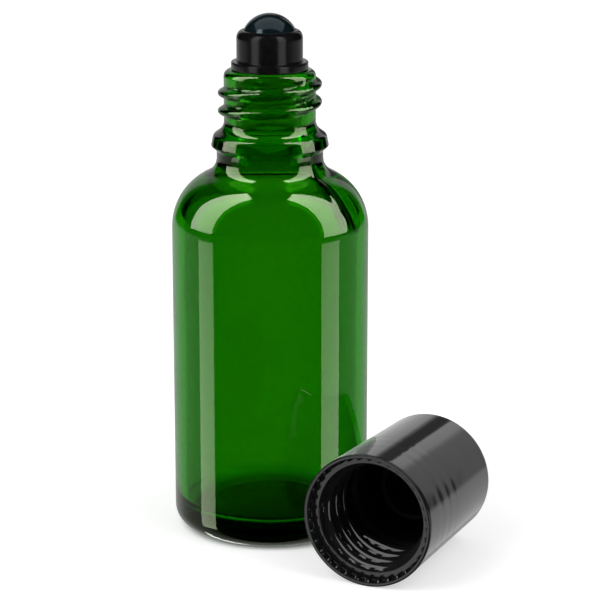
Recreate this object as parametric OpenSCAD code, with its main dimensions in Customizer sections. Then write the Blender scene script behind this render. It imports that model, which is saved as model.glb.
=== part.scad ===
// Roll-on bottle: a glass bottle, a ball fitment pressed into its neck, and its screw cap lying beside it.
// Origin: centre of the base, on the bottle's axis. +Z is up, and +Y runs from the cap's mouth to its closed end.

/* [Glass body] */
// Outer diameter of the body
body_d = 33; // [31:0.5:37]
// Height of the glass, from the base to the rim
bottle_h = 78.7; // [72:0.1:95]
// Thickness of the side wall
wall_t = 1.9; // [1.5:0.1:2.4]
// Thickness of the floor at its edge
floor_t = 3.9; // [2.6:0.1:5]
// Rise of the floor's middle above its edge
floor_crown_h = 0.8; // [0:0.1:1.2]
// Radius of the shoulder
shoulder_r = 10; // [8.5:0.25:11]
// Radius of the heel
heel_r = 3.4; // [2:0.1:4]
// Radius inside, where the floor meets the wall
floor_corner_r = 2.5; // [1.5:0.25:5]
// Inner diameter of the ring that the bottle stands on
stand_ring_d = 22; // [18:0.5:23]
// Height of the push-up inside that ring
push_up_h = 1; // [0.5:0.1:1.6]

/* [Neck] */
// Outer diameter of the neck between the turns of its thread
neck_d = 15.3; // [15:0.1:15.8]
// Diameter of the neck's bore
bore_d = 11.5; // [11:0.1:12]
// Radius of the rim's outer edge
rim_r = 1.1; // [0.6:0.1:1.2]
// Radius of the rim's inner edge
rim_inner_r = 0.4; // [0.2:0.1:0.5]
// Diameter over the thread's crest
thread_d = 17.3; // [17:0.1:17.8]
// Pitch of the thread
thread_pitch = 3; // [2.8:0.1:3.2]
// Number of turns on the neck
thread_turns = 1.83; // [1.2:0.01:2]
// Width of the thread's ridge at its foot
thread_w = 1.8; // [1.6:0.1:2.2]
// From the rim down to the upper end of the ridge
thread_drop = 1.9; // [1.8:0.05:2.6]
// Largest diameter of the collar under the thread
collar_d = 19.6; // [19.2:0.1:20]
// Diameter of the collar's upper edge
collar_top_d = 18.8; // [18.4:0.1:19.2]
// From the rim down to the collar's upper edge
collar_drop = 11; // [10.8:0.1:12]
// Height of the collar's face
collar_h = 1.7; // [1.2:0.1:2]
// Height of the chamfer under the collar
collar_chamfer_h = 0.95; // [0.6:0.05:1.2]
// Height of the hollow curve from the neck out to the collar
collar_sweep_h = 2.6; // [2:0.05:3]
// Diameter of the neck below the collar
lower_neck_d = 17.8; // [17.4:0.1:18.2]
// From the rim down to where the neck flares into the shoulder
lower_neck_drop = 15.1; // [14.8:0.1:18]
// Radius of that flare
neck_fillet_r = 2.4; // [1.5:0.1:3]
// Radius inside, where the bore opens into the body
bore_flare_r = 10; // [1:0.5:12]

/* [Ball and housing] */
// Diameter of the ball
ball_d = 9.5; // [9:0.05:9.6]
// How far the ball stands out above the lip
ball_show_h = 2.75; // [2.5:0.05:3.2]
// Running clearance round the ball
ball_clear = 0.07; // [0.03:0.01:0.1]
// Outer diameter of the housing
housing_d = 11; // [10.9:0.05:11.4]
// Height of the housing above the rim
housing_h = 6.55; // [6:0.05:7]
// Height of the rounding at the housing's lip
lip_round_h = 1.4; // [0.6:0.05:1.5]
// Width of the flat land between that rounding and the ball
lip_land_w = 0.1; // [0.05:0.05:0.2]
// Diameter of the flange that sits on the rim
flange_d = 12.8; // [12.6:0.1:13.2]
// Thickness of the flange
flange_t = 1.4; // [1:0.05:1.6]
// Radius of the flange's edges
flange_edge_r = 0.25; // [0.1:0.05:0.35]

/* [Neck plug] */
// Depth of the plug below the rim
plug_h = 9.9; // [8:0.1:11]
// Thickness of the plug's sleeve
plug_wall_t = 1; // [0.7:0.1:1.3]
// Clearance between the plug's sleeve and the bore
plug_clear = 0.25; // [0.15:0.05:0.35]
// Clearance between the sealing ribs and the bore
rib_clear = 0.03; // [0.02:0.01:0.08]
// Number of sealing ribs
rib_count = 3; // [2:1:4]
// Width of a sealing rib at its foot
rib_w = 0.9; // [0.6:0.1:1.2]
// Flat top of a rib, as a share of its foot
rib_top_share = 0.25; // [0.1:0.05:0.5]
// Length of the lead-in at the sleeve's lower end
lead_in_h = 0.8; // [0.5:0.1:1.2]
// Diameter of the hole that feeds the ball
feed_d = 3; // [2:0.1:3.4]
// Thickness of the web round that hole
web_t = 1.1; // [0.9:0.1:1.6]
// Height of the seat ring above the rim
seat_h = 2.6; // [2:0.1:3]
// Number of feed grooves in the seat
groove_count = 4; // [3:1:6]
// Width of a feed groove
groove_w = 0.8; // [0.5:0.1:1]
// Depth of a feed groove below the edge of the feed hole
groove_depth = 0.5; // [0.3:0.1:0.6]
// Gap round the plug's head inside the housing
head_clear = 0.05; // [0.03:0.01:0.08]
// Height of the head that the housing holds
head_h = 1.3; // [1:0.05:1.4]
// Thickness of the flange outside the plug's head
flange_rim_w = 1.2; // [1.1:0.05:1.4]

/* [Cap] */
// Outer diameter of the cap at its mouth
cap_d = 22.1; // [21.9:0.1:24]
// Outer diameter of the cap at its closed end
cap_top_d = 21; // [20.2:0.1:21.4]
// Height of the cap
cap_h = 28; // [25:0.25:30]
// Thickness of the closed end
cap_top_t = 1.4; // [1:0.1:1.8]
// Radius of the edge round the closed end
cap_edge_r = 0.8; // [0.4:0.1:1.2]
// Radius of the mouth's outer edge
mouth_edge_r = 0.25; // [0.1:0.05:0.3]
// Clearance between the cap's thread and the neck's
thread_clear = 0.4; // [0.3:0.05:0.5]
// Number of turns in the cap
cap_turns = 3.4; // [2.5:0.1:3.6]
// From the mouth to the start of the cap's thread
cap_thread_z = 2.7; // [2.6:0.1:3.2]
// Clearance between the mouth and the collar
mouth_clear = 0.6; // [0.5:0.05:0.75]
// Depth of the wider stretch at the mouth
mouth_h = 1.7; // [1.4:0.1:2]
// How far the seated cap reaches down past the collar's upper edge
collar_lap_h = 1.2; // [0.8:0.1:1.4]
// Number of grip teeth inside the mouth
tooth_count = 36; // [24:1:48]
// Height of a tooth, inwards from the wall
tooth_h = 0.45; // [0.3:0.05:0.5]
// Width of a tooth
tooth_w = 0.9; // [0.6:0.1:1]
// Depth of the teeth behind the mouth's edge
tooth_set_h = 0.35; // [0.2:0.05:0.5]
// Diameter of the bore beyond the thread
cap_inner_d = 16.8; // [16.4:0.1:17.4]
// Thickness of the inner ring that seals on the housing's lip
seal_t = 0.9; // [0.7:0.1:1.1]
// Clearance between that ring and the ball
seal_clear = 0.3; // [0.2:0.05:0.4]

/* [Layout] */
// Gap between the lying cap and the bottle
cap_gap = 0.35; // [0.3:0.05:3]
// How far the cap's mouth lies in front of the bottle's axis
cap_lead = 22; // [10:0.5:26]

/* [Hidden] */
$fn = 96;

// Overrun of every cut past the face that it opens
cut = 0.3;
// Steps of a rounded stretch, and of a ridge per turn and across its back
arc_steps = 8;
ridge_steps = 30;
ridge_back_steps = 6;
// Turn over which a ridge rises at its ends, and how deep its foot sinks into the wall
ridge_fade_turns = 0.16;
ridge_sink = 0.2;
// Direction, seen from above, in which the upper end of the neck's thread points
thread_top_angle = 85;

body_r = body_d / 2;
neck_r = neck_d / 2;
bore_r = bore_d / 2;
collar_r = collar_d / 2;
collar_top_r = collar_top_d / 2;
lower_neck_r = lower_neck_d / 2;
stand_ring_r = stand_ring_d / 2;
thread_h = (thread_d - neck_d) / 2;

// The shoulder's arc meets the flare of the neck, and inside it the flare of the bore
shoulder_x = body_r - shoulder_r;
fillet_x = lower_neck_r + neck_fillet_r;
fillet_z = bottle_h - lower_neck_drop;
shoulder_z = fillet_z - sqrt(pow(shoulder_r + neck_fillet_r, 2) - pow(fillet_x - shoulder_x, 2));
shoulder_angle = atan2(fillet_z - shoulder_z, fillet_x - shoulder_x);
inner_shoulder_r = shoulder_r - wall_t;
flare_x = bore_r + bore_flare_r;
flare_z = shoulder_z + sqrt(pow(inner_shoulder_r + bore_flare_r, 2) - pow(flare_x - shoulder_x, 2));
flare_angle = atan2(flare_z - shoulder_z, flare_x - shoulder_x);
inner_r = body_r - wall_t;

// The hollow curve above the collar starts upright on the neck
sweep_w = collar_top_r - neck_r;
sweep_r = (pow(sweep_w, 2) + pow(collar_sweep_h, 2)) / (2 * sweep_w);
sweep_angle = asin(collar_sweep_h / sweep_r);
collar_z = bottle_h - collar_drop;

// Heights of the fitment are counted from the rim
ball_r = ball_d / 2;
ball_z = housing_h + ball_show_h - ball_r;
socket_r = ball_r + ball_clear;
lip_angle = asin((housing_h - ball_z) / socket_r);
lip_open_r = socket_r * cos(lip_angle);
housing_r = housing_d / 2;
flange_r = flange_d / 2;
head_hole_r = flange_r - flange_rim_w;
head_r = head_hole_r - head_clear;
sleeve_r = bore_r - plug_clear;
sleeve_inner_r = sleeve_r - plug_wall_t;
rib_h = plug_clear - rib_clear;
feed_r = feed_d / 2;
feed_z = ball_z - sqrt(pow(socket_r, 2) - pow(feed_r, 2));
seat_ring_r = socket_r - head_clear;
seat_top_angle = asin((ball_z - seat_h) / socket_r);
seat_foot_angle = acos(feed_r / socket_r);

// The cap's inside follows the neck, the collar and the housing that it closes over
cap_r = cap_d / 2;
cap_top_r = cap_top_d / 2;
draft_angle = atan((cap_r - cap_top_r) / cap_h);
cap_root_r = thread_d / 2 + thread_clear;
cap_crest_r = neck_r + thread_clear;
mouth_r = collar_r + mouth_clear;
cap_inner_r = cap_inner_d / 2;
cap_thread_end_z = cap_thread_z + cap_turns * thread_pitch + thread_w;
cap_ceiling_z = cap_h - cap_top_t;
cap_seat_drop = collar_drop + collar_lap_h;
seal_z = cap_seat_drop + housing_h;
seal_inner_r = lip_open_r + seal_clear;

// The cap lies on its draft, so its axis dips towards the closed end
cap_pass_r = cap_r - cap_lead * tan(draft_angle);
cap_x = body_r + cap_gap + cap_pass_r;

// Points of an elliptical arc, from one angle to another
function arc(x, y, rx, ry, from, to) =
    [for (i = [0 : arc_steps]) let (a = from + (to - from) * i / arc_steps) [x + rx * cos(a), y + ry * sin(a)]];

// Points of a crown that falls from the axis to a radius, as a parabola
function crown(radius, base_z, height) =
    [for (i = [0 : arc_steps]) let (share = i / arc_steps) [radius * share, base_z + height * (1 - share * share)]];

function reversed(points) = [for (i = [len(points) - 1 : -1 : 0]) points[i]];

// How far a ridge has risen at a distance in turns from its end, from 0 to 1
function ridge_rise(turns) = turns >= ridge_fade_turns ? 1 : sin(90 * max(turns, 0) / ridge_fade_turns);

// Section of a ridge: a rounded back between two feet that are sunk into the wall
function ridge_section(wall_r, height, width, rise) = concat(
    [[wall_r - 2 * ridge_sink * sign(height), -width / 2]],
    [for (j = [0 : ridge_back_steps])
        let (a = 180 - 180 * j / ridge_back_steps)
        [wall_r + sign(height) * ((abs(height) + ridge_sink) * rise * sin(a) - ridge_sink), width / 2 * cos(a)]],
    [[wall_r - 2 * ridge_sink * sign(height), width / 2]]);

// A right-handed helical ridge on a wall. A negative height makes it stand inwards
module helical_ridge(wall_r, height, width, turns, low_z, low_angle) {
    rings = ceil(turns * ridge_steps);
    count = ridge_back_steps + 3;
    points = [for (i = [0 : rings])
        let (turned = turns * i / rings)
        let (rise = ridge_rise(min(turned, turns - turned)))
        for (p = ridge_section(wall_r, height, width, rise))
            [p[0] * cos(low_angle + 360 * turned), p[0] * sin(low_angle + 360 * turned),
             low_z + thread_pitch * turned + p[1]]];
    sides = [for (i = [0 : rings - 1], j = [0 : count - 1])
        let (a = i * count + j, b = i * count + (j + 1) % count)
        for (face = [[a, b, b + count], [a, b + count, a + count]])
            height > 0 ? face : reversed(face)];
    first_end = [for (j = [1 : count - 2]) height > 0 ? [0, j + 1, j] : [0, j, j + 1]];
    last = rings * count;
    last_end = [for (j = [1 : count - 2]) height > 0 ? [last, last + j, last + j + 1] : [last, last + j + 1, last + j]];
    polyhedron(points = points, faces = concat(sides, first_end, last_end));
}

// Outline of the glass, from the base's middle round the outside to the rim and back down the inside
module glass_outline() {
    polygon(concat(
        crown(stand_ring_r, 0, push_up_h),
        arc(body_r - heel_r, heel_r, heel_r, heel_r, -90, 0),
        arc(shoulder_x, shoulder_z, shoulder_r, shoulder_r, 0, shoulder_angle),
        arc(fillet_x, fillet_z, neck_fillet_r, neck_fillet_r, 180 + shoulder_angle, 180),
        [[lower_neck_r, collar_z - collar_h - collar_chamfer_h],
         [collar_r, collar_z - collar_h]],
        arc(neck_r + sweep_r, collar_z + collar_sweep_h, sweep_r, sweep_r, 180 + sweep_angle, 180),
        arc(neck_r - rim_r, bottle_h - rim_r, rim_r, rim_r, 0, 90),
        arc(bore_r + rim_inner_r, bottle_h - rim_inner_r, rim_inner_r, rim_inner_r, 90, 180),
        arc(flare_x, flare_z, bore_flare_r, bore_flare_r, 180, 180 + flare_angle),
        arc(shoulder_x, shoulder_z, inner_shoulder_r, inner_shoulder_r, flare_angle, 0),
        arc(inner_r - floor_corner_r, floor_t + floor_corner_r, floor_corner_r, floor_corner_r, 0, -90),
        reversed(crown(inner_r - floor_corner_r, floor_t, floor_crown_h))));
}

module bottle() {
    color("forestgreen") {
        rotate_extrude() glass_outline();
        helical_ridge(neck_r, thread_h, thread_w, thread_turns,
            bottle_h - thread_drop - thread_turns * thread_pitch, thread_top_angle - 360 * thread_turns);
    }
}

// Outline of the plug's revolved part: seat ring, head, sleeve and its ribs
module plug_outline() {
    rib_gap = (plug_h - lead_in_h) / (rib_count + 1);
    polygon(concat(
        [[sleeve_inner_r, -plug_h],
         [sleeve_r - plug_clear, -plug_h],
         [sleeve_r, lead_in_h - plug_h]],
        [for (i = [1 : rib_count]) each [
            [sleeve_r, lead_in_h - plug_h + i * rib_gap - rib_w / 2],
            [sleeve_r + rib_h, lead_in_h - plug_h + i * rib_gap - rib_w * rib_top_share / 2],
            [sleeve_r + rib_h, lead_in_h - plug_h + i * rib_gap + rib_w * rib_top_share / 2],
            [sleeve_r, lead_in_h - plug_h + i * rib_gap + rib_w / 2]]],
        [[sleeve_r, 0],
         [head_r, 0],
         [head_r, head_h],
         [seat_ring_r, head_h],
         [seat_ring_r, seat_h]],
        arc(0, ball_z, socket_r, socket_r, -seat_top_angle, -seat_foot_angle),
        [[feed_r, feed_z - web_t],
         [sleeve_inner_r, feed_z - web_t]]));
}

module neck_plug() {
    groove_z = feed_z - groove_depth;
    color("whitesmoke") translate([0, 0, bottle_h]) difference() {
        rotate_extrude() plug_outline();
        for (i = [0 : groove_count - 1])
            rotate(360 * i / groove_count) translate([feed_r - cut, -groove_w / 2, groove_z])
                cube([sleeve_inner_r - feed_r, groove_w, head_h - groove_z]);
    }
}

module ball_housing() {
    round_w = housing_r - lip_open_r - lip_land_w;
    color("black") translate([0, 0, bottle_h]) rotate_extrude() polygon(concat(
        [[head_hole_r, 0]],
        arc(flange_r - flange_edge_r, flange_edge_r, flange_edge_r, flange_edge_r, -90, 0),
        arc(flange_r - flange_edge_r, flange_t - flange_edge_r, flange_edge_r, flange_edge_r, 0, 90),
        [[housing_r, flange_t]],
        arc(housing_r - round_w, housing_h - lip_round_h, round_w, lip_round_h, 0, 90),
        arc(0, ball_z, socket_r, socket_r, lip_angle, 0),
        [[socket_r, head_h],
         [head_hole_r, head_h]]));
}

module roller_ball() {
    color("darkslategray") translate([0, 0, bottle_h + ball_z]) sphere(r = ball_r);
}

// Outline of the cap, with its mouth at height 0
module cap_outline() {
    polygon(concat(
        [[mouth_r, 0]],
        arc(cap_r - mouth_edge_r, mouth_edge_r, mouth_edge_r, mouth_edge_r, -90, 0),
        arc(cap_top_r - cap_edge_r, cap_h - cap_edge_r, cap_edge_r, cap_edge_r, draft_angle, 90),
        [[0, cap_h],
         [0, cap_ceiling_z],
         [seal_inner_r, cap_ceiling_z],
         [seal_inner_r, seal_z],
         [seal_inner_r + seal_t, seal_z],
         [seal_inner_r + seal_t, cap_ceiling_z],
         [cap_inner_r, cap_ceiling_z],
         [cap_inner_r, cap_thread_end_z + cap_root_r - cap_inner_r],
         [cap_root_r, cap_thread_end_z],
         [cap_root_r, mouth_h],
         [mouth_r, mouth_h]]));
}

module mouth_teeth() {
    for (i = [0 : tooth_count - 1])
        rotate(360 * i / tooth_count) translate([mouth_r - tooth_h, -tooth_w / 2, tooth_set_h])
            cube([tooth_h + cut, tooth_w, mouth_h - tooth_set_h + cut]);
}

module screw_cap() {
    color("dimgray") translate([cap_x, -cap_lead, cap_r * cos(draft_angle)]) rotate([-90 - draft_angle, 0, 0]) {
        rotate_extrude() cap_outline();
        mouth_teeth();
        helical_ridge(cap_root_r, cap_crest_r - cap_root_r, thread_w, cap_turns, cap_thread_z, 0);
    }
}

bottle();
neck_plug();
ball_housing();
roller_ball();
screw_cap();
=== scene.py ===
import math

import bpy
import numpy as np
from mathutils import Matrix, Vector, noise


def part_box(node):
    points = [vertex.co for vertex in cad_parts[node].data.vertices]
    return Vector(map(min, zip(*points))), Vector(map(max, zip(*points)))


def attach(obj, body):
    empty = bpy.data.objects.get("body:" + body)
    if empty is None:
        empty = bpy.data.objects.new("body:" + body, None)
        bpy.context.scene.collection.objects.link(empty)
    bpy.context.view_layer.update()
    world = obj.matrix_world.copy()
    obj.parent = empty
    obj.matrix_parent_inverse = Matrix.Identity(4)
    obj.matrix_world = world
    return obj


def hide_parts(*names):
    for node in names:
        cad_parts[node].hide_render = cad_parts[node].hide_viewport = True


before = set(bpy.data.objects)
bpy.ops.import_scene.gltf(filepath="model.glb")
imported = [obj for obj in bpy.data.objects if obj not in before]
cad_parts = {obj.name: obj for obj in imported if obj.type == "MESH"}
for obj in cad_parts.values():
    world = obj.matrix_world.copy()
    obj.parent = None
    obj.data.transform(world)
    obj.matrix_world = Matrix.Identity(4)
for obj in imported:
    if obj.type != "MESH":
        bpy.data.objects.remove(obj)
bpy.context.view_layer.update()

# A small glass bottle with a roller ball in its neck, and its screw cap lying beside it.
# Outlines are drawn in millimetres and turned round an axis; everything in Blender is in metres.
mm = 0.001
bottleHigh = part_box("bottle")[1]
bodyRadius = bottleHigh.x / mm
rimHeight = bottleHigh.z / mm
domeSteps = 16
cornerSteps = 5
sharpEdge = math.radians(40)  # bends beyond this aren't shaded smooth


# Points along an arc, from one angle to another in degrees
def arc(x, z, radius, start, end, steps, tall=None):
    angles = np.radians(np.linspace(start, end, steps + 1))
    return [(x + radius * math.cos(a), z + (tall or radius) * math.sin(a)) for a in angles]


# Points of a shallow dome over the axis, outwards to its edge
def domed(reach, base, crown):
    shares = [k / domeSteps for k in range(domeSteps + 1)]
    return [(reach * share, base + crown * (1 - share ** 2)) for share in shares]


# Rounds each corner of an open run of (across, up, radius) points
def roundedRun(corners):
    points = [corners[0][:2]]
    for before, here, after in zip(corners, corners[1:], corners[2:]):
        at, radius = Vector(here[:2]), here[2]
        if radius == 0:
            points.append(tuple(at))
            continue
        back = (Vector(before[:2]) - at).normalized()
        ahead = (Vector(after[:2]) - at).normalized()
        half = back.angle(ahead) / 2
        middle = at + (back + ahead).normalized() * (radius / math.sin(half))
        first = at + back * (radius / math.tan(half)) - middle
        last = at + ahead * (radius / math.tan(half)) - middle
        start = math.atan2(first.y, first.x)
        sweep = (math.atan2(last.y, last.x) - start + math.pi) % (2 * math.pi) - math.pi
        for k in range(cornerSteps + 1):
            a = start + sweep * k / cornerSteps
            points.append((middle.x + radius * math.cos(a), middle.y + radius * math.sin(a)))
    return points + [corners[-1][:2]]


# Adds points to an outline until no step is longer than longest(across, up)
def evenSteps(points, longest):
    spaced = [points[0]]
    for (x0, z0), (x1, z1) in zip(points, points[1:]):
        limit = longest((x0 + x1) / 2, (z0 + z1) / 2)
        count = max(1, math.ceil(math.hypot(x1 - x0, z1 - z0) / limit))
        spaced += [(x0 + (x1 - x0) * k / count, z0 + (z1 - z0) * k / count) for k in range(1, count + 1)]
    return spaced


# Drops points that lie on the one before them
def withoutRepeats(points):
    kept = [points[0]]
    for point in points[1:]:
        if math.dist(point, kept[-1]) > 1e-4:
            kept.append(point)
    return kept


# Climbs from 0 where the values are at start to 1 where they are at end
def climb(values, start, end):
    return np.clip((values - start) / (end - start), 0, 1)


# Where the points of the rings are before shape moves them, in millimetres
def placesOf(radius, height, angle):
    around = np.radians(angle)
    return np.stack([radius * np.cos(around), radius * np.sin(around), height], -1)


# Height share of a helical ridge at each point: 0 on the wall, 1 on its crest
def ridgeAt(angle, height, ridge):
    share = np.zeros(np.broadcast(angle, height).shape)
    for turn in range(math.ceil(ridge["turns"]) + 1):
        turned = (angle - ridge["lowAngle"]) / 360 % 1 + turn
        across = np.abs(height - ridge["lowHeight"] - ridge["pitch"] * turned) / (ridge["width"] / 2)
        back = np.clip(1 - np.clip(across, 0, 1) ** ridge["flatness"], 0, 1) ** ridge["softness"]
        ends = np.clip(np.minimum(turned, ridge["turns"] - turned) / ridge["fade"], 0, 1)
        share = np.maximum(share, back * np.sin(ends * math.pi / 2))
    return share


# Smooth noise at each point, about -1 to 1, with bumps about size across
def unevenness(points, size, seed):
    shift = Vector((seed * 7.3, seed * 3.1, seed * 5.7))
    values = [noise.noise(Vector(p) / size + shift) for p in points.reshape(-1, 3)]
    return np.array(values).reshape(points.shape[:2])


# Mesh of an outline turned round Z. A run that ends on the axis closes there, and any other joins
# its ends. shape(radius, height, angle) moves the points of the rings.
def turned(name, outline, columns, shape=None):
    outline = np.array(withoutRepeats(outline))
    onAxis = outline[0, 0] < 1e-6 and outline[-1, 0] < 1e-6
    rings = outline[1:-1] if onAxis else outline
    angle = (np.arange(columns) * 360 / columns)[None, :]
    radius, height = (np.repeat(rings[:, k : k + 1], columns, 1) for k in (0, 1))
    if shape:
        radius, height = shape(radius, height, angle)
    points = placesOf(radius, height, angle) * mm
    rows = len(rings)
    i = np.arange(rows - 1 if onAxis else rows)[:, None]
    j = np.arange(columns)[None, :]
    upper, beside = (i + 1) % rows, (j + 1) % columns
    quads = np.stack([
        i * columns + j, i * columns + beside, upper * columns + beside, upper * columns + j], -1)
    points, faces = points.reshape(-1, 3).tolist(), quads.reshape(-1, 4).tolist()
    if onAxis:
        last = (rows - 1) * columns
        points += [(0, 0, outline[0, 1] * mm), (0, 0, outline[-1, 1] * mm)]
        for k in range(columns):
            faces.append([rows * columns, (k + 1) % columns, k])
            faces.append([rows * columns + 1, last + k, last + (k + 1) % columns])
    mesh = bpy.data.meshes.new(name)
    mesh.from_pydata(points, [], faces)
    return mesh


# Puts a mesh in the scene as a piece that rides on a body and stands for a CAD node
def addPiece(mesh, body, node, material):
    mesh.shade_smooth()
    mesh.set_sharp_from_angle(angle=sharpEdge)
    mesh.materials.append(material)
    piece = bpy.data.objects.new(mesh.name, mesh)
    bpy.context.scene.collection.objects.link(piece)
    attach(piece, body)
    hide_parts(node)
    print(mesh.name, "has", len(mesh.vertices), "points")


def addNode(tree, kind, inputs=None, **settings):
    node = tree.nodes.new(kind)
    for name, value in settings.items():
        setattr(node, name, value)
    for name, value in (inputs or {}).items():
        node.inputs[name].default_value = value
    return node


# Noise in the piece's own space, with features about size metres across
def grain(tree, size):
    where = addNode(tree, "ShaderNodeTexCoord")
    speckle = addNode(tree, "ShaderNodeTexNoise", {"Scale": 1 / size, "Detail": 2.0})
    tree.links.new(where.outputs["Object"], speckle.inputs["Vector"])
    return speckle.outputs["Fac"]


def newMaterial(name, inputs):
    material = bpy.data.materials.new(name)
    material.use_nodes = True
    tree = material.node_tree
    shader = tree.nodes["Principled BSDF"]
    for entry, value in inputs.items():
        shader.inputs[entry].default_value = value
    return material, tree, shader


noiseRange = (0.3, 0.7)  # where most values of a noise texture lie
shadeStops = (0.35, 0.65)


# Two shades of one colour, spread by noise
def addShades(tree, shader, look):
    ramp = addNode(tree, "ShaderNodeValToRGB")
    for element, position, shade in zip(ramp.color_ramp.elements, shadeStops, ("colour", "paler")):
        element.position = position
        element.color = (*look[shade], 1)
    tree.links.new(grain(tree, look["shadeSize"]), ramp.inputs["Fac"])
    tree.links.new(ramp.outputs["Color"], shader.inputs["Base Color"])


# Roughness that varies between two values, and a fine relief
def addFinish(tree, shader, look):
    low, high = look["roughness"]
    spread = addNode(tree, "ShaderNodeMapRange", {
        "From Min": noiseRange[0], "From Max": noiseRange[1], "To Min": low, "To Max": high})
    tree.links.new(grain(tree, look["roughSize"]), spread.inputs["Value"])
    tree.links.new(spread.outputs["Result"], shader.inputs["Roughness"])
    bump = addNode(tree, "ShaderNodeBump", {"Strength": 1.0, "Distance": look["rippleDepth"]})
    tree.links.new(grain(tree, look["rippleSize"]), bump.inputs["Height"])
    tree.links.new(bump.outputs["Normal"], shader.inputs["Normal"])


def greenGlass(look):
    material, tree, shader = newMaterial("green glass", {
        "Base Color": (*look["surface"], 1),
        "Transmission Weight": 1.0,
        "IOR": 1.5,
        "Specular Tint": (*look["tint"], 1)})
    addFinish(tree, shader, look)
    depth = addNode(tree, "ShaderNodeVolumeAbsorption", {
        "Color": (*look["colour"], 1), "Density": look["density"]})
    tree.links.new(depth.outputs["Volume"], tree.nodes["Material Output"].inputs["Volume"])
    return material


# The two plastics, the cap's and the ball's differ only by their looks
def mottled(name, look, inputs):
    material, tree, shader = newMaterial(name, inputs)
    addShades(tree, shader, look)
    addFinish(tree, shader, look)
    return material


threadPitch = 3.0  # of the neck and of the cap
glass = {
    "wall": 1.9,
    "floor": 3.9,  # thickness at its edge
    "floorCrown": 0.8,
    "floorCorner": 2.2,
    "shoulder": 10.0,
    "heel": 3.4,
    "standRing": 11.0,  # inner radius of the ring that it stands on
    "pushUp": 1.0,
    "neck": 7.65,
    "bore": 5.75,
    "rimRound": 1.1,
    "rimInner": 0.4,
    "collar": 9.83,
    "collarFootRound": 0.4,
    "collarEdgeRound": 0.3,
    "collarTop": 9.52,
    "collarDrop": 11.25,  # from the rim to the top of the collar's side
    "collarHeight": 1.45,
    "collarChamfer": 0.8,
    "collarRound": 0.9,  # radius that turns the side into the slope
    "collarSlope": 55,  # degrees that the slope above it leans inwards
    "collarHollow": 2.1,  # radius that turns the slope into the neck
    "lowerNeck": 8.9,
    "lowerNeckDrop": 14.7,
    "neckFillet": 3.0,
    "boreFlare": 10.0,
    "threadHeight": 1.0,
    "threadWall": 8.7,  # from the rim down to the end of the wall that bears the thread
    "wallReach": 0.15,  # how far from that wall's radius a point still belongs to it
    "seamAngles": (-16, 164),
    "seamHeight": 0.12,
    "seamWidth": 0.35,
    "seamRise": (56, 59),  # heights between which it comes up from the body
    "seamEnd": (1.2, 1.7),  # drops from the rim between which it comes up again
    "seamNotch": 0.2,  # share of the thread that is missing at the seam
    "seamNotchWidth": 0.6,
    "foldAngles": (-18, 1, 6),  # a fold inside the shoulder, beside the seam: its foot, crest and back
    "foldRise": (52.5, 56),
    "foldDepth": 1.1,
    "foldPitch": 4.6,  # degrees from one of its ripples to the next
    "foldTwist": 0.25,  # by which they turn with each millimetre of height
    "foldRipples": 0.12,
    "knurls": 72,
    "knurlTop": 0.3,
    "knurlDepth": 0.16,
    "knurlRound": 0.6,
    "knurlRise": 0.3,  # widths over which the ring of crescents begins and ends
    "knurlFall": 0.4,
    "knurlOverhang": 0.2,  # by which it reaches past the start of the heel
    "innerWaves": 0.07,  # unevenness of the inside, which the mould doesn't touch
    "innerWaveSize": 9,
    "innerWaveDrop": (15, 20),  # drops from the rim between which it begins
    "outerWaves": 0.012,
    "outerWaveSize": 14,
    "outerWaveRise": (4, 10),
    "outerWaveFall": (58, 52),
    "floorWaves": 2,  # how much more the floor inside is uneven than the wall
    "floorWaveTop": 7,
    "wallStart": (6, 12),  # radii between which the inside turns from floor to wall
}
neckTurns = 1.83
neckThreadDrop = 1.9  # from the rim to the thread's upper end
neckThreadEnd = 85  # degrees round the neck to that end
neckThread = {
    "turns": neckTurns,
    "pitch": threadPitch,
    "width": 1.9,
    "fade": 0.16,  # turns over which an end rises
    "flatness": 2.4,
    "softness": 1.3,
    "lowHeight": rimHeight - neckThreadDrop - neckTurns * threadPitch,
    "lowAngle": neckThreadEnd - 360 * neckTurns,
}
glassLook = {
    "surface": (0.29, 0.475, 0.12),
    "colour": (0.42, 0.86, 0.08),
    "density": 1200,
    "tint": (0.78, 1.0, 0.56),  # of what it mirrors
    "roughness": (0.0, 0.02),
    "roughSize": 6 * mm,
    "rippleSize": 5 * mm,
    "rippleDepth": 0.008 * mm,
}


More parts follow.
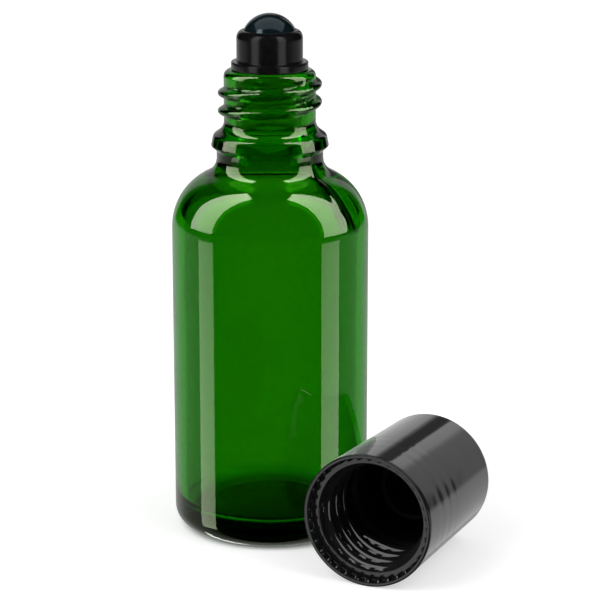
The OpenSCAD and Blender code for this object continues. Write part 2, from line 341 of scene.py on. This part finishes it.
def glassOutline(g):
    shoulderX = bodyRadius - g["shoulder"]
    filletX = g["lowerNeck"] + g["neckFillet"]
    filletZ = rimHeight - g["lowerNeckDrop"]
    shoulderZ = filletZ - math.sqrt((g["shoulder"] + g["neckFillet"]) ** 2 - (filletX - shoulderX) ** 2)
    meet = math.degrees(math.atan2(filletZ - shoulderZ, filletX - shoulderX))
    inner = g["shoulder"] - g["wall"]
    flareX = g["bore"] + g["boreFlare"]
    flareZ = shoulderZ + math.sqrt((inner + g["boreFlare"]) ** 2 - (flareX - shoulderX) ** 2)
    innerMeet = math.degrees(math.atan2(flareZ - shoulderZ, flareX - shoulderX))
    collarZ = rimHeight - g["collarDrop"]
    crown, hollow = g["collarRound"], g["collarHollow"]
    slope = math.radians(g["collarSlope"])
    lean = math.atan((g["collar"] - g["collarTop"]) / g["collarHeight"])
    crownX = g["collarTop"] - crown * math.cos(lean)
    crownZ = collarZ - crown * math.sin(lean)
    # The slope runs inwards between the two arcs
    across = crownX + (crown + hollow) * math.cos(slope) - g["neck"] - hollow
    hollowZ = crownZ + (crown + hollow) * math.sin(slope) + across / math.tan(slope)
    corner = g["floorCorner"]
    flat = bodyRadius - g["wall"] - corner
    outline = domed(g["standRing"], 0, g["pushUp"])
    outline += arc(bodyRadius - g["heel"], g["heel"], g["heel"], -90, 0, 16)
    outline += arc(shoulderX, shoulderZ, g["shoulder"], 0, meet, 32)
    outline += arc(filletX, filletZ, g["neckFillet"], 180 + meet, 180, 10)
    outline += roundedRun([
        (g["lowerNeck"], filletZ, 0),
        (g["lowerNeck"], collarZ - g["collarHeight"] - g["collarChamfer"], g["collarFootRound"]),
        (g["collar"], collarZ - g["collarHeight"], g["collarEdgeRound"]),
        (g["collarTop"], collarZ, 0)])
    outline += arc(crownX, crownZ, crown, math.degrees(lean), g["collarSlope"], 12)
    outline += arc(g["neck"] + hollow, hollowZ, hollow, 180 + g["collarSlope"], 180, 14)
    outline += arc(g["neck"] - g["rimRound"], rimHeight - g["rimRound"], g["rimRound"], 0, 90, 12)
    outline += arc(g["bore"] + g["rimInner"], rimHeight - g["rimInner"], g["rimInner"], 90, 180, 6)
    outline += arc(flareX, flareZ, g["boreFlare"], 180, 180 + innerMeet, 10)
    outline += arc(shoulderX, shoulderZ, inner, innerMeet, 0, 24)
    outline += arc(flat, g["floor"] + corner, corner, 0, -90, 12)
    return outline + domed(flat, g["floor"], g["floorCrown"])[::-1]


def glassShape(radius, height, angle):
    g = glass
    places = placesOf(radius, height, angle)
    outside = np.arange(len(radius))[:, None] < np.argmax(height[:, 0])
    drop = rimHeight - height
    # Distance along the wall to the nearer mould seam
    seam = np.min([np.abs((angle - s + 180) % 360 - 180) for s in g["seamAngles"]], 0)
    seam = np.radians(seam) * radius
    thread = ridgeAt(angle, height, neckThread)
    thread = thread * (1 - g["seamNotch"] * np.exp(-((seam / g["seamNotchWidth"]) ** 2)))
    onNeck = outside & (drop < g["threadWall"]) & (np.abs(radius - g["neck"]) < g["wallReach"])
    lift = np.where(onNeck, thread * g["threadHeight"], 0.0)
    seamed = climb(height, *g["seamRise"]) * climb(drop, *g["seamEnd"])
    seamed = seamed * g["seamHeight"] * np.exp(-((seam / g["seamWidth"]) ** 2))
    lift = lift + np.where(outside, seamed, 0)
    # The wall pulls in a little between its high spots, so that it never leaves the CAD size
    outer = climb(height, *g["outerWaveRise"]) * climb(height, *g["outerWaveFall"])
    outer = outer * g["outerWaves"] * (1 + unevenness(places, g["outerWaveSize"], 1))
    lift = lift - np.where(outside, outer, 0)
    below = ~outside & (drop > g["innerWaveDrop"][0])
    wavy = climb(drop, *g["innerWaveDrop"]) * unevenness(places, g["innerWaveSize"], 2)
    wavy = wavy * g["innerWaves"]
    upright = climb(radius, *g["wallStart"])
    lift = lift + np.where(below, wavy * upright, 0)
    turn = (angle + 180) % 360 - 180
    ripples = np.cos(2 * math.pi * turn / g["foldPitch"] + g["foldTwist"] * height)
    fold = np.interp(turn, g["foldAngles"], (0, 1, 0)) * climb(height, *g["foldRise"])
    fold = fold * (g["foldDepth"] + g["foldRipples"] * ripples)
    lift = lift - np.where(below, fold * upright, 0)
    rise = np.where(below & (height < g["floorWaveTop"]), wavy * g["floorWaves"], 0)
    # Crescents round the standing ring leave it resting on their tops
    ringStart, ringEnd = g["standRing"], bodyRadius - g["heel"] + g["knurlOverhang"]
    ring = climb(radius, ringStart, ringStart + g["knurlRise"])
    ring = ring * climb(radius, ringEnd + g["knurlFall"], ringEnd)
    knurl = (0.5 + 0.5 * np.cos(np.radians(angle * g["knurls"]))) ** g["knurlRound"]
    rise = rise + np.where(outside & (height < g["knurlTop"]), ring * knurl * g["knurlDepth"], 0)
    return radius + lift, height + rise


# Longest steps between rows, which are fine under the thread and round the foot
glassRows = {
    "neck": 6.8,  # radius that the neck's outside lies beyond
    "threadDrops": (1.05, 8.8),
    "thread": 0.13,
    "footTop": 0.5,
    "foot": 0.25,
    "plain": 1.8,
}


def glassStep(x, z):
    first, last = glassRows["threadDrops"]
    if x > glassRows["neck"] and first < rimHeight - z < last:
        return glassRows["thread"]
    return glassRows["foot"] if z < glassRows["footTop"] else glassRows["plain"]


print("Bottle")
glassRun = evenSteps(glassOutline(glass), glassStep)
bottleMesh = turned("glass_bottle", glassRun, columns=288, shape=glassShape)
addPiece(bottleMesh, "bottle", "bottle", greenGlass(glassLook))


housing = {
    "radius": 5.5,
    "lipRound": 1.4,
    "lipLand": 0.1,
    "flangeHeight": 1.4,
    "flangeEdge": 0.25,
    "footRound": 0.12,
    "headHole": 5.2,
    "head": 1.3,
    "ballGap": 0.07,
}
housingLook = {
    "colour": (0.004, 0.004, 0.0045),
    "paler": (0.006, 0.006, 0.0065),
    "shadeSize": 1.5 * mm,
    "roughness": (0.16, 0.22),
    "roughSize": 0.8 * mm,
    "rippleSize": 0.12 * mm,
    "rippleDepth": 0.004 * mm,
}
housingLow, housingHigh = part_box("ball_housing")
ballLow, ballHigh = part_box("roller_ball")
ballRadius = (ballHigh.x - ballLow.x) / 2 / mm
ballZ = (ballHigh.z + ballLow.z) / 2 / mm
socketRadius = ballRadius + housing["ballGap"]


def housingOutline(h):
    foot, top, flange = housingLow.z / mm, housingHigh.z / mm, housingHigh.x / mm
    lip = math.asin((top - ballZ) / socketRadius)
    roundWide = h["radius"] - socketRadius * math.cos(lip) - h["lipLand"]
    outline = [(h["headHole"], foot)]
    outline += roundedRun([
        (h["headHole"], foot, 0),
        (flange, foot, h["flangeEdge"]),
        (flange, foot + h["flangeHeight"], h["flangeEdge"]),
        (h["radius"], foot + h["flangeHeight"], h["footRound"]),
        (h["radius"], top - h["lipRound"], 0)])
    lipZ = top - h["lipRound"]
    outline += arc(h["radius"] - roundWide, lipZ, roundWide, 0, 90, 14, tall=h["lipRound"])
    outline += arc(0, ballZ, socketRadius, math.degrees(lip), 0, 16)
    outline += [(socketRadius, foot + h["head"]), (h["headHole"], foot + h["head"])]
    return outline


def fittingStep(x, z):
    return 0.35


print("Roller fitment")
housingRun = evenSteps(housingOutline(housing), fittingStep)
housingMesh = turned("ball_housing_shell", housingRun, columns=192)
housingPlastic = mottled("satin black plastic", housingLook, {"IOR": 1.5})
addPiece(housingMesh, "fitment", "ball_housing", housingPlastic)


plug = {
    "sleeve": 5.5,
    "sleeveTop": 0.5,  # from the rim down
    "wall": 1.0,
    "leadIn": 0.8,
    "leadInwards": 0.25,
    "ribs": 3,
    "ribHeight": 0.22,
    "ribWidth": 0.9,
    "head": 5.15,
    "headHeight": 1.3,
    "headRound": 0.08,
    "seatRing": 4.77,
    "seatHeight": 2.6,
    "seatReach": 0.02,  # how far from its radius a point still belongs to the seat
    "seatMargin": 0.3,
    "feed": 1.5,
    "web": 1.1,
    "grooves": 4,
    "grooveWidth": 0.8,
    "grooveDepth": 0.5,
}
plugLook = {
    "colour": (0.78, 0.80, 0.78),
    "paler": (0.86, 0.87, 0.86),
    "shadeSize": 2 * mm,
    "roughness": (0.04, 0.1),
    "roughSize": 1 * mm,
    "rippleSize": 0.3 * mm,
    "rippleDepth": 0.01 * mm,
}
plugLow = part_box("neck_plug")[0]
feedZ = ballZ - math.sqrt(socketRadius ** 2 - plug["feed"] ** 2)  # where the feed hole meets the seat


def plugOutline(p):
    foot, rim = plugLow.z / mm, rimHeight
    inner = p["sleeve"] - p["wall"]
    seatTop = math.degrees(math.asin((ballZ - rim - p["seatHeight"]) / socketRadius))
    seatFoot = math.degrees(math.acos(p["feed"] / socketRadius))
    gap = (rim - foot - p["leadIn"]) / (p["ribs"] + 1)
    outline = [(inner, foot), (p["sleeve"] - p["leadInwards"], foot), (p["sleeve"], foot + p["leadIn"])]
    for k in range(1, p["ribs"] + 1):
        z = foot + p["leadIn"] + k * gap
        outline += arc(p["sleeve"], z, p["ribHeight"], -90, 90, 8, tall=p["ribWidth"] / 2)
    outline += roundedRun([
        (p["sleeve"], rim - p["sleeveTop"], 0),
        (p["sleeve"], rim, 0),
        (p["head"], rim, 0),
        (p["head"], rim + p["headHeight"], p["headRound"]),
        (p["seatRing"], rim + p["headHeight"], 0),
        (p["seatRing"], rim + p["seatHeight"], 0)])
    outline += arc(0, ballZ, socketRadius, -seatTop, -seatFoot, 24)
    outline += [(p["feed"], feedZ - p["web"]), (inner, feedZ - p["web"]), (inner, foot)]
    return outline


# Feed grooves are cut into the seat under the ball
def plugShape(radius, height, angle):
    p = plug
    floor = feedZ - p["grooveDepth"]
    spread = 360 / p["grooves"]
    off = np.radians(np.abs((angle + spread / 2) % spread - spread / 2)) * radius
    onSeat = np.abs(np.hypot(radius, height - ballZ) - socketRadius) < p["seatReach"]
    onSeat = onSeat & (radius < p["sleeve"] - p["wall"] - p["seatMargin"])
    inGroove = onSeat & (off < p["grooveWidth"] / 2)
    return radius, np.where(inGroove, np.minimum(height, floor), height)


plugRun = evenSteps(plugOutline(plug), fittingStep)
plugMesh = turned("plug_with_seat", plugRun, columns=240, shape=plugShape)
plugPlastic = mottled("natural plastic", plugLook, {"IOR": 1.5, "Transmission Weight": 0.95})
addPiece(plugMesh, "fitment", "neck_plug", plugPlastic)


ball = {
    "waves": 0.0006,  # its unevenness, as a share of its radius
    "waveSize": 4,
}
ballLook = {
    "colour": (0.003, 0.008, 0.010),
    "paler": (0.005, 0.011, 0.014),
    "shadeSize": 3 * mm,
    "tint": (0.72, 0.95, 1.0),  # of what it mirrors
    "roughness": (0.10, 0.14),
    "roughSize": 2 * mm,
    "rippleSize": 1.2 * mm,
    "rippleDepth": 0.002 * mm,
}


# It is uneven inwards only
def ballShape(radius, height, angle):
    share = 1 - ball["waves"] * (1 + unevenness(placesOf(radius, height, angle), ball["waveSize"], 3))
    return radius * share, ballZ + (height - ballZ) * share


ballOutline = arc(0, ballZ, ballRadius, -90, 90, 96)
ballOutline[0], ballOutline[-1] = (0, ballZ - ballRadius), (0, ballZ + ballRadius)
ballMesh = turned("glass_roller_ball", ballOutline, columns=160, shape=ballShape)
ballGlass = mottled("dark ball glass", ballLook, {"IOR": 1.52, "Specular Tint": (*ballLook["tint"], 1)})
addPiece(ballMesh, "ball", "roller_ball", ballGlass)


cap = {
    "length": 28.0,
    "end": 10.5,  # outer radius at the closed end
    "endThickness": 1.4,
    "endEdge": 0.8,
    "mouthEdge": 0.25,
    "mouth": 10.4,
    "mouthDepth": 1.7,
    "teeth": 36,
    "toothHeight": 0.45,
    "toothWidth": 0.9,
    "toothSet": 0.35,
    "threadRoot": 9.05,
    "threadCrest": 8.05,
    "threadRunOut": 2.0,
    "inner": 8.4,
    "sealInner": 4.685,
    "sealWall": 0.9,
    "sealStart": 18.75,
    "sealFootRound": 0.2,
    "sealEdgeRound": 0.25,
    "innerRound": 0.5,
    "runOutRound": 0.3,
    "rootRound": 0.15,
    "mouthDepthRound": 0.12,
    "mouthRound": 0.1,
    "sideReach": 0.02,  # how far from the side's radius a point still belongs to it
    "sinks": 0.022,  # depth of the sink marks over the thread inside
    "sinkShares": (0.5, 0.25),  # of that depth, from the thread and from noise
    "sinkSize": 6,
    "sinkStart": (1, 3),  # heights between which they begin
    "sinkEnd": 1.5,  # from the closed end
}
capThread = {
    "turns": 3.4,
    "pitch": threadPitch,
    "width": 1.9,
    "fade": 0.12,
    "flatness": 2.2,
    "softness": 1.0,
    "lowHeight": 2.7,
    "lowAngle": 0,
}
capLook = {
    "colour": (0.009, 0.009, 0.0098),
    "paler": (0.012, 0.012, 0.013),
    "shadeSize": 4 * mm,
    "roughness": (0.06, 0.10),
    "roughSize": 2.5 * mm,
    "rippleSize": 3 * mm,
    "rippleDepth": 0.005 * mm,
}
capLow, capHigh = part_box("screw_cap")
capRadius = (capHigh.x - capLow.x) / 2 / mm
capDraft = math.atan((capRadius - cap["end"]) / cap["length"])


def capOutline(c):
    ceiling = c["length"] - c["endThickness"]
    threadEnd = capThread["lowHeight"] + capThread["turns"] * capThread["pitch"] + c["threadRunOut"]
    outline = roundedRun([
        (0, ceiling, 0),
        (c["sealInner"], ceiling, c["sealFootRound"]),
        (c["sealInner"], c["sealStart"], c["sealEdgeRound"]),
        (c["sealInner"] + c["sealWall"], c["sealStart"], c["sealEdgeRound"]),
        (c["sealInner"] + c["sealWall"], ceiling, c["sealFootRound"]),
        (c["inner"], ceiling, c["innerRound"]),
        (c["inner"], threadEnd + c["threadRoot"] - c["inner"], c["runOutRound"]),
        (c["threadRoot"], threadEnd, c["runOutRound"]),
        (c["threadRoot"], c["mouthDepth"], c["rootRound"]),
        (c["mouth"], c["mouthDepth"], c["mouthDepthRound"]),
        (c["mouth"], 0, c["mouthRound"]),
        (capRadius - c["mouthEdge"], 0, 0)])
    edge, endEdge = c["mouthEdge"], c["endEdge"]
    outline += arc(capRadius - edge, edge, edge, -90, 0, 6)
    outline += arc(c["end"] - endEdge, c["length"] - endEdge, endEdge, math.degrees(capDraft), 90, 10)
    return outline + [(0, c["length"])]


def capShape(radius, height, angle):
    c = cap
    onRoot = np.abs(radius - c["threadRoot"]) < 1e-3
    ridge = ridgeAt(angle, height, capThread)
    lift = np.where(onRoot, -ridge * (c["threadRoot"] - c["threadCrest"]), 0.0)
    # Grip teeth inside the mouth
    pitch = 360 / c["teeth"]
    off = np.radians(np.abs((angle + pitch / 2) % pitch - pitch / 2)) * c["mouth"]
    tooth = (off < c["toothWidth"] / 2) & (height > c["toothSet"]) & (height < c["mouthDepth"] - 1e-3)
    lift = np.where(tooth & (np.abs(radius - c["mouth"]) < 1e-3), -c["toothHeight"], lift)
    # The outside sinks a little where the thread makes the wall thick
    outer = capRadius - height * math.tan(capDraft)
    onSide = (np.abs(radius - outer) < c["sideReach"]) & (height > c["sinkStart"][0])
    onSide = onSide & (height < c["length"] - c["sinkEnd"])
    patches = 1 + unevenness(placesOf(radius, height, angle), c["sinkSize"], 4)
    sunk = c["sinks"] * (c["sinkShares"][0] * ridge + c["sinkShares"][1] * patches)
    sunk = sunk * climb(height, *c["sinkStart"])
    return radius + np.where(onSide, -sunk, lift), height


# Longest steps between rows, which are fine under the thread and at the teeth
capRows = {
    "threadReach": 9.1,  # radius that the wall under the thread lies within
    "threadHeights": (1.6, 16),
    "thread": 0.13,
    "mouthReach": 10.6,
    "mouthTop": 2,
    "mouth": 0.22,
    "plain": 0.5,
}


def capStep(x, z):
    first, last = capRows["threadHeights"]
    if x < capRows["threadReach"] and first < z < last:
        return capRows["thread"]
    if x < capRows["mouthReach"] and z < capRows["mouthTop"]:
        return capRows["mouth"]
    return capRows["plain"]


print("Screw cap")
capRun = evenSteps(capOutline(cap), capStep)
capMesh = turned("cap_with_thread", capRun, columns=288, shape=capShape)
# It lies on its draft: X runs across, its axis along +Y and a little down
mouthCentre = Vector((
    (capLow.x + capHigh.x) / 2,
    capLow.y + (capRadius - cap["mouthEdge"]) * mm * math.sin(capDraft),
    capRadius * mm * math.cos(capDraft)))
lying = Matrix.Translation(mouthCentre) @ Matrix.Rotation(-math.pi / 2 - capDraft, 4, "X")
capMesh.transform(lying)
capPlastic = mottled("charcoal plastic", capLook, {"IOR": 1.5})
addPiece(capMesh, "cap", "screw_cap", capPlastic)


studio = {
    "turn": 25,  # degrees that the camera stands to the right of the bottle's front
    "above": 15,
    "distance": 0.408,
    "lens": 144.5,
    "aimRight": 5.0,
    "aimHeight": 39.2,
    "softLight": 0.45,
    "floorGlow": 0.5,
    "paintedShadowReach": (13.5 * mm, 16 * mm),  # painted shadow: the floor's glow fades out under the bottle, between these radii
    "horizon": (-0.15, -0.09),  # rises between which mirrors turn from the lower ring to the upper
    "overhead": (0.42, 0.64),  # and from there to black
}
# Softboxes stand upright round the bottle: degrees to the camera's right, metres from it, and degrees
# up. A pair of numbers is for the foot and the head. Those on a piece are only mirrored, by that
# piece, and the last two are only felt by matt surfaces.
glassBoxes = [
    {"name": "Left gleam", "aside": (-87, -98), "away": (0.9, 0.6), "up": (1, 75), "width": 0.56,
     "bright": (5.1, 11.6)},
    {"name": "Right gleam", "aside": (83, 94), "away": (0.9, 0.6), "up": (-3, 75), "width": 0.58,
     "bright": (5.1, 10.5)},
    {"name": "Left table gleam", "aside": -80, "away": 0.9, "up": (-32, -11.2), "width": 0.35,
     "bright": (5.1, 1.9)},
    {"name": "Right table gleam", "aside": 75, "away": 0.9, "up": (-32, -11.2), "width": 0.41,
     "bright": (5.1, 1.9)},
    {"name": "Heel glint", "aside": -147, "away": 0.9, "up": (-56, -51), "width": 0.8, "bright": 5.0},
]
housingBoxes = [
    {"name": "Left fitment gleam", "aside": -51, "away": 0.9, "up": (-20, 55), "width": 0.42,
     "bright": (0.75, 1.8)},
    {"name": "Right fitment gleam", "aside": 44, "away": 0.9, "up": (-20, 55), "width": 0.42,
     "bright": (0.75, 1.8)},
]
ballBoxes = [
    {"name": "Ball gleam above", "aside": (0, 180), "away": (0.35, 0.5), "up": (62, 60), "width": 1.5,
     "bright": 0.8},
    {"name": "Ball gleam in front", "aside": 26, "away": 0.9, "up": (-14, 26), "width": 1.6,
     "bright": (2.2, 0.5)},
    {"name": "Ball glint", "aside": (-40, -62), "away": 0.9, "up": (16, 50), "width": 0.42,
     "bright": (6.0, 2.6)},
]
capBoxes = [
    {"name": "Cap gleam", "aside": 144, "away": 2.0, "up": (-38, 45), "width": 1.15,
     "bright": (0.3, 0.8)},
    {"name": "Cap gleam behind", "aside": 186, "away": 2.0, "up": (-30, 50), "width": 0.9, "bright": 0.35},
    {"name": "Cap mouth gleam", "aside": -50, "away": 2.0, "up": (-26, -4), "width": 0.7, "bright": 1.3},
    {"name": "Cap inside gleam", "aside": -20, "away": 0.9, "up": (38, 60), "width": 2.6, "bright": 3.2},
    {"name": "Cap ridge gleam", "aside": 42, "away": 0.9, "up": (-24, 4), "width": 0.3, "bright": 2.6},
]
mattBoxes = [
    {"name": "Left light", "aside": -60, "away": (1.0, 0.7), "up": (10, 65), "width": 0.8, "bright": 2.4},
    {"name": "Right light", "aside": 65, "away": (1.0, 0.7), "up": (10, 65), "width": 0.8, "bright": 1.8},
]
softboxes = [
    (glassBoxes, "glass_bottle"),
    (housingBoxes, "ball_housing_shell"),
    (ballBoxes, "glass_roller_ball"),
    (capBoxes, "cap_with_thread"),
    (mattBoxes, None),
]
lampAt = 0.054  # height that the degrees up are counted from
lampAim = 0.05  # height that the softboxes face
lampFactor = math.pi  # watts for a brightness of 1 over a square metre
# What mirrors see round the bottle: degrees from the camera's direction, and brightness
mirrored = {
    "above": [
        (-180, 0.55), (-166, 0.5), (-152, 0.45), (-146, 0.0), (146, 0.0),
        (151, 0.55), (160, 0.55), (162, 0.1), (171, 0.1), (173, 0.5), (180, 0.55)],
    "below": [
        (-180, 0.5), (-140, 0.6), (-118, 0.42), (-96, 0.42), (-66, 0.0), (62, 0.0),
        (92, 0.32), (130, 0.4), (152, 0.45), (180, 0.5)],
}
right = Vector((math.cos(math.radians(studio["turn"])), math.sin(math.radians(studio["turn"])), 0))
towards = Vector((right.y, -right.x, 0))  # from the bottle to the camera, level


# A direction from the bottle: degrees to the camera's right of the line to the camera, and degrees up
def bearing(aside, up):
    level = towards * math.cos(math.radians(aside)) + right * math.sin(math.radians(aside))
    return level * math.cos(math.radians(up)) + Vector((0, 0, math.sin(math.radians(up))))


def addCamera(s):
    camera = bpy.data.objects.new("Camera", bpy.data.cameras.new("Camera"))
    bpy.context.scene.collection.objects.link(camera)
    aim = right * s["aimRight"] * mm + Vector((0, 0, s["aimHeight"] * mm))
    back = bearing(0, s["above"])
    camera.location = aim + back * s["distance"]
    camera.rotation_euler = (-back).to_track_quat("-Z", "Y").to_euler()
    camera.data.lens = s["lens"]
    camera.data.sensor_width = 36
    camera.data.clip_start = 0.05
    camera.data.clip_end = 20
    bpy.context.scene.camera = camera


# A softbox that faces the bottle, with its own brightness at its foot and at its head
def addSoftbox(box, onPiece):
    asides, aways, ups, glow = (
        box[key] if isinstance(box[key], tuple) else (box[key], box[key])
        for key in ("aside", "away", "up", "bright"))
    bottom, top = (
        bearing(aside, 0) * away + Vector((0, 0, lampAt + away * math.tan(math.radians(up))))
        for aside, away, up in zip(asides, aways, ups))
    lamp = bpy.data.lights.new(box["name"], "AREA")
    lamp.shape = "RECTANGLE"
    up = (top - bottom).normalized()
    middle = (bottom + top) / 2
    across = up.cross(Vector((0, 0, lampAim)) - middle).normalized()
    facing = across.cross(up).normalized()
    lamp.size, lamp.size_y = box["width"], (top - bottom).length
    lamp.energy = lamp.size * lamp.size_y * lampFactor
    lamp.use_nodes = True
    tree = lamp.node_tree
    shine = tree.nodes["Emission"]
    place = addNode(tree, "ShaderNodeNewGeometry")
    split = addNode(tree, "ShaderNodeSeparateXYZ")
    spread = addNode(tree, "ShaderNodeMapRange", {"To Min": glow[0], "To Max": glow[1]})
    tree.links.new(place.outputs["Parametric"], split.inputs[0])
    tree.links.new(split.outputs["Y"], spread.inputs["Value"])
    tree.links.new(spread.outputs["Result"], shine.inputs["Strength"])
    softbox = bpy.data.objects.new(box["name"], lamp)
    bpy.context.scene.collection.objects.link(softbox)
    turn = Matrix((across, up, -facing)).transposed().to_4x4()
    softbox.matrix_world = Matrix.Translation(middle) @ turn
    softbox.visible_camera = False
    softbox.visible_diffuse = not onPiece
    softbox.visible_glossy = softbox.visible_transmission = bool(onPiece)
    if onPiece:
        catcher = bpy.data.collections.new("catches " + box["name"])
        catcher.objects.link(bpy.data.objects[onPiece])
        softbox.light_linking.receiver_collection = catcher
        softbox.light_linking.blocker_collection = catcher


# A floor of squares whose glow is seen by the camera and through the glass, but lights nothing. The glow
# fades out under the bottle as a painted shadow.
def addFloor(s):
    count, reach = 24, 1.6
    steps = np.linspace(-reach, reach, count + 1)
    points = [(x, y, 0) for y in steps for x in steps]
    corners = (0, 1, count + 2, count + 1)
    faces = [[r * (count + 1) + k + c for c in corners] for r in range(count) for k in range(count)]
    mesh = bpy.data.meshes.new("pale_floor")
    mesh.from_pydata(points, [], faces)
    material, tree, shader = newMaterial("pale floor", {
        "Base Color": (0.8, 0.8, 0.8, 1), "Roughness": 0.9, "Emission Color": (1, 1, 1, 1)})
    rays = addNode(tree, "ShaderNodeLightPath")
    shown = addNode(tree, "ShaderNodeMath", operation="ADD", use_clamp=True)
    glow = addNode(tree, "ShaderNodeMath", {1: s["floorGlow"]}, operation="MULTIPLY")
    tree.links.new(rays.outputs["Is Camera Ray"], shown.inputs[0])
    tree.links.new(rays.outputs["Is Transmission Ray"], shown.inputs[1])
    tree.links.new(shown.outputs[0], glow.inputs[0])
    # Painted shadow under the bottle: the glow is taken away inside its footprint, so the glass shows a
    # dark floor there
    paintedShadowInner, paintedShadowOuter = s["paintedShadowReach"]
    place = addNode(tree, "ShaderNodeNewGeometry")
    away = addNode(tree, "ShaderNodeVectorMath", operation="LENGTH")
    lit = addNode(tree, "ShaderNodeMapRange", {"From Min": paintedShadowInner, "From Max": paintedShadowOuter})
    masked = addNode(tree, "ShaderNodeMath", operation="MULTIPLY")
    tree.links.new(place.outputs["Position"], away.inputs[0])
    tree.links.new(away.outputs["Value"], lit.inputs["Value"])
    tree.links.new(glow.outputs[0], masked.inputs[0])
    tree.links.new(lit.outputs["Result"], masked.inputs[1])
    tree.links.new(masked.outputs[0], shader.inputs["Emission Strength"])
    mesh.materials.append(material)
    floor = bpy.data.objects.new("pale_floor", mesh)
    bpy.context.scene.collection.objects.link(floor)
    floor.visible_glossy = False


# Grey shades by compass direction, from (degrees, brightness) stops
def addRing(tree, compass, stops):
    ring = addNode(tree, "ShaderNodeValToRGB")
    while len(ring.color_ramp.elements) < len(stops):
        ring.color_ramp.elements.new(0.5)
    for element, (degrees, brightness) in zip(ring.color_ramp.elements, stops):
        element.position = 0.5 + degrees / 360
        element.color = (brightness, brightness, brightness, 1)
    tree.links.new(compass, ring.inputs["Fac"])
    return ring.outputs["Color"]


# White where the camera or the glass sees it, softer on surfaces, and in mirrors bright behind and
# dark in front
def addWorld(s):
    world = bpy.data.worlds.new("Studio")
    bpy.context.scene.world = world
    world.use_nodes = True
    tree = world.node_tree
    tree.nodes.clear()
    link = tree.links.new
    out = addNode(tree, "ShaderNodeOutputWorld")
    rays = addNode(tree, "ShaderNodeLightPath")
    where = addNode(tree, "ShaderNodeTexCoord")
    facing = math.atan2(towards.y, towards.x)
    turnedBack = addNode(tree, "ShaderNodeMapping", {"Rotation": (0, 0, -facing)})
    compass = addNode(tree, "ShaderNodeTexGradient", gradient_type="RADIAL")
    split = addNode(tree, "ShaderNodeSeparateXYZ")
    horizon, overhead = s["horizon"], s["overhead"]
    rise = addNode(tree, "ShaderNodeMapRange", {"From Min": horizon[0], "From Max": horizon[1]})
    fade = addNode(tree, "ShaderNodeMapRange", {
        "From Min": overhead[0], "From Max": overhead[1], "To Min": 1.0, "To Max": 0.0})
    faded = addNode(tree, "ShaderNodeMixRGB", {"Color1": (0, 0, 0, 1)})
    level = addNode(tree, "ShaderNodeMixRGB")
    seen = addNode(tree, "ShaderNodeMath", operation="ADD", use_clamp=True)
    shown = addNode(tree, "ShaderNodeMath", operation="ADD", use_clamp=True)
    white = addNode(tree, "ShaderNodeMixRGB", {"Color1": (1, 1, 1, 1)})
    backdrop = addNode(tree, "ShaderNodeBackground", {"Strength": 1.0})
    soft = addNode(tree, "ShaderNodeBackground", {"Color": (1, 1, 1, 1), "Strength": s["softLight"]})
    mixed = addNode(tree, "ShaderNodeMixShader")
    link(where.outputs["Generated"], turnedBack.inputs["Vector"])
    link(turnedBack.outputs["Vector"], compass.inputs["Vector"])
    link(where.outputs["Generated"], split.inputs[0])
    link(split.outputs["Z"], rise.inputs["Value"])
    link(split.outputs["Z"], fade.inputs["Value"])
    link(fade.outputs["Result"], faded.inputs["Fac"])
    link(addRing(tree, compass.outputs["Fac"], mirrored["above"]), faded.inputs["Color2"])
    link(rise.outputs["Result"], level.inputs["Fac"])
    link(addRing(tree, compass.outputs["Fac"], mirrored["below"]), level.inputs["Color1"])
    link(faded.outputs["Color"], level.inputs["Color2"])
    link(rays.outputs["Is Glossy Ray"], white.inputs["Fac"])
    link(level.outputs["Color"], white.inputs["Color2"])
    link(white.outputs["Color"], backdrop.inputs["Color"])
    link(rays.outputs["Is Camera Ray"], seen.inputs[0])
    link(rays.outputs["Is Transmission Ray"], seen.inputs[1])
    link(seen.outputs[0], shown.inputs[0])
    link(rays.outputs["Is Glossy Ray"], shown.inputs[1])
    link(shown.outputs[0], mixed.inputs[0])
    link(soft.outputs[0], mixed.inputs[1])
    link(backdrop.outputs[0], mixed.inputs[2])
    link(mixed.outputs[0], out.inputs["Surface"])


print("Studio")
addCamera(studio)
addFloor(studio)
addWorld(studio)
for boxes, onPiece in softboxes:
    for box in boxes:
        addSoftbox(box, onPiece)
bpy.context.scene.view_settings.view_transform = "Standard"

print("Done")
